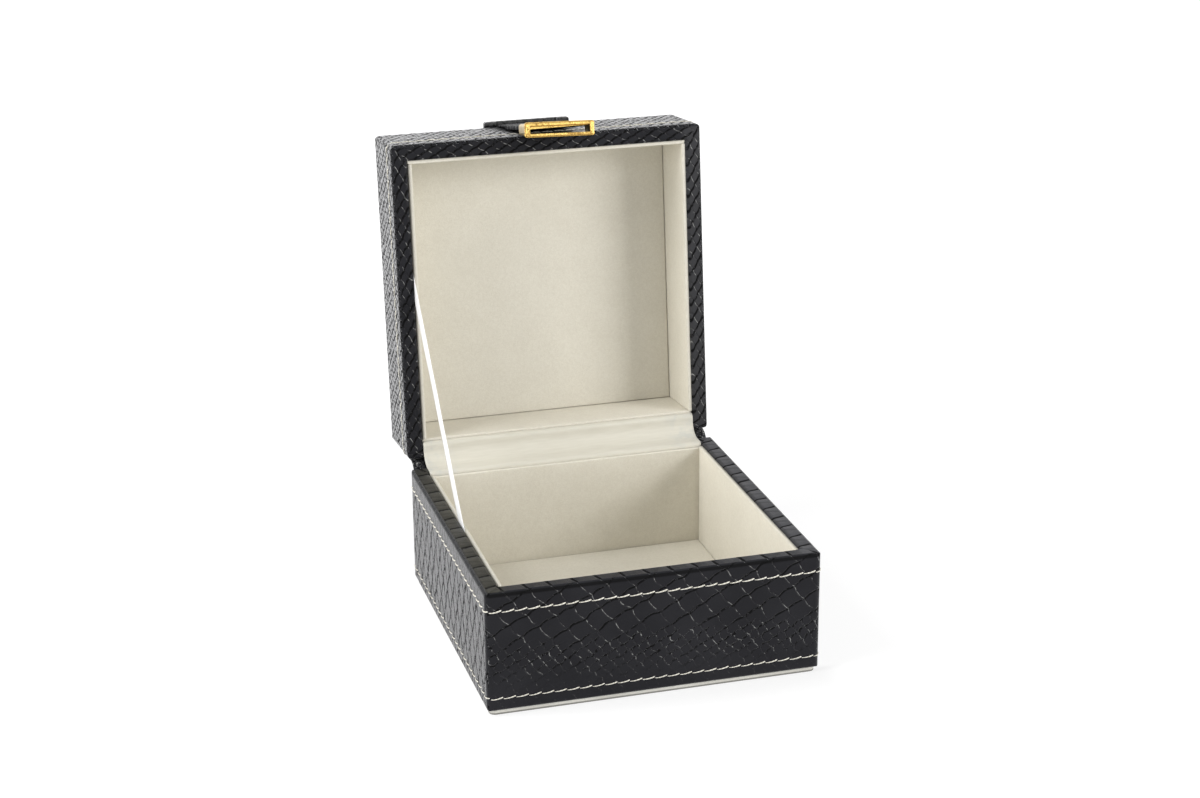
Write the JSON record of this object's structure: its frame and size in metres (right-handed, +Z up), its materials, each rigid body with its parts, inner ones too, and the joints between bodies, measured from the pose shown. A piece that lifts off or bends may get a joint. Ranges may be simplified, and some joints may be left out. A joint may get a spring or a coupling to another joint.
{
  "type": "ring display box",
  "caption": "Square leather-wrapped jewellery box with a hinged lid, velvet lining, a ribbon that stays the open lid and a leather strap clasp with a gilt end.",
  "frame": {"origin": "middle of the underside of the base's bottom cover", "axes": "+Z up; -Y is the front, where the strap closes; +X to the right seen from the front; the lid stands open behind"},
  "size_m": [0.11, 0.1561, 0.1612],
  "materials": {
    "leather": "embossed, semi-gloss",
    "board": "raw greyboard",
    "cover": "matt",
    "velvet": "short velvet pile",
    "satin": "satin",
    "ribbon": "satin ribbon",
    "gilt": "polished gilt",
    "magnet": "nickel plated"
  },
  "bodies": {
    "base": {"bottom_cover": "cover", "base_leather": "leather", "base_bottom_board": "board", "base_front_board": "board", "base_back_board": "board", "base_left_board": "board", "base_right_board": "board", "floor_pad": "velvet", "base_front_lining": "velvet", "base_back_lining": "velvet", "base_left_lining": "velvet", "base_right_lining": "velvet", "magnet": "magnet", "hinge_spine": "leather", "hinge_strip": "satin", "stay_ribbon": "ribbon"},
    "lid": {"lid_leather": "leather", "lid_top_board": "board", "lid_front_board": "board", "lid_back_board": "board", "lid_left_board": "board", "lid_right_board": "board", "ceiling_pad": "velvet", "lid_front_lining": "velvet", "lid_back_lining": "velvet", "lid_left_lining": "velvet", "lid_right_lining": "velvet", "strap_root": "leather", "strap_bend": "leather"},
    "clasp": {"strap_face": "leather", "strap_backing": "leather", "strap_tip": "leather", "clasp_sleeve": "gilt", "clasp_frame": "gilt", "clasp_tongue": "gilt"}
  },
  "joints": [
    {"name": "lid_hinge", "type": "hinge", "parent": "base", "child": "lid", "pos_m": [0, 0.05735, 0.04125], "axis": [1, 0, 0], "range_deg": [0, 95.8], "deforming": ["hinge_spine", "hinge_strip", "stay_ribbon"]},
    {"name": "strap_hinge", "type": "hinge", "parent": "lid", "child": "clasp", "pos_m": [0, 0.09705, 0.14854], "axis": [-1, 0, 0], "range_deg": [-1.2, 60], "deforming": ["strap_bend"]}
  ]
}
